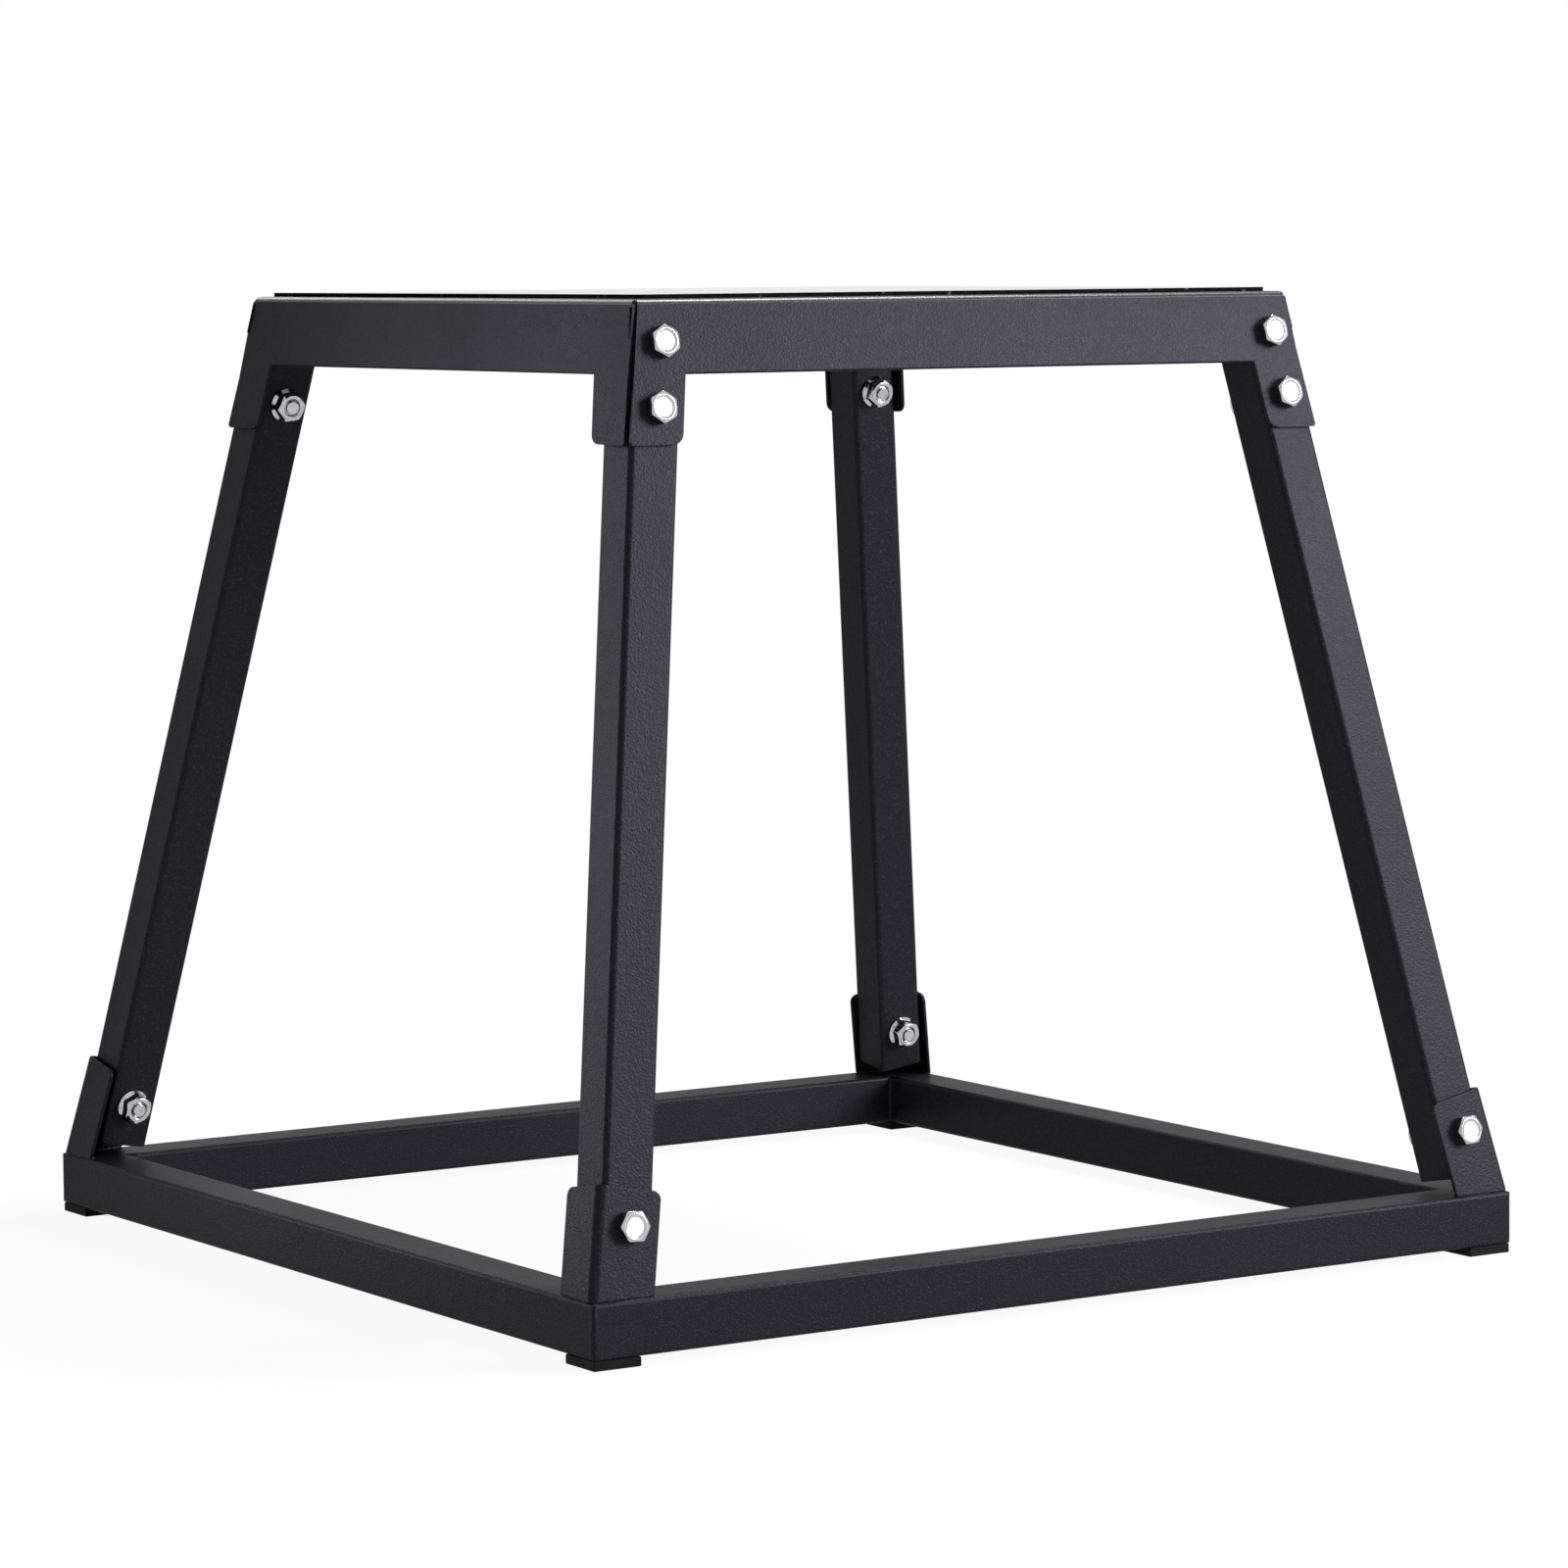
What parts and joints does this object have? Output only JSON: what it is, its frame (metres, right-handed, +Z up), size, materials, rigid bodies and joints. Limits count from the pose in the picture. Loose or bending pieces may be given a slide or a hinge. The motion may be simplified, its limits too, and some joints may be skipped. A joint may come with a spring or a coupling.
{
  "type": "plyometric jump box",
  "caption": "Open-frame steel jump box: a folded platform with a rubber mat on splayed tube legs, bolted to a welded square base on rubber feet.",
  "frame": {"origin": "on the floor under the middle of the box", "axes": "+Z up; the front, where bolt heads show, faces -Y; +X to the right seen from the front"},
  "size_m": [0.5096, 0.512, 0.4572],
  "materials": {
    "powder_coat": "satin charcoal-black powder coat with a fine speckle",
    "mat_rubber": "matte granular rubber sheet",
    "foot_rubber": "matte moulded rubber",
    "zinc": "bright zinc plate"
  },
  "bodies": {
    "root": {"top_platform": "powder_coat", "top_mat": "mat_rubber", "base_rail_front": "powder_coat", "base_rail_rear": "powder_coat", "base_rail_left": "powder_coat", "base_rail_right": "powder_coat", "leg_front_left": "powder_coat", "base_bracket_front_left": "powder_coat", "foot_front_left": "foot_rubber", "bolts_front_left": "zinc", "nuts_front_left": "zinc", "leg_front_right": "powder_coat", "base_bracket_front_right": "powder_coat", "foot_front_right": "foot_rubber", "bolts_front_right": "zinc", "nuts_front_right": "zinc", "leg_rear_left": "powder_coat", "base_bracket_rear_left": "powder_coat", "foot_rear_left": "foot_rubber", "bolts_rear_left": "zinc", "nuts_rear_left": "zinc", "leg_rear_right": "powder_coat", "base_bracket_rear_right": "powder_coat", "foot_rear_right": "foot_rubber", "bolts_rear_right": "zinc", "nuts_rear_right": "zinc"}
  },
  "joints": []
}
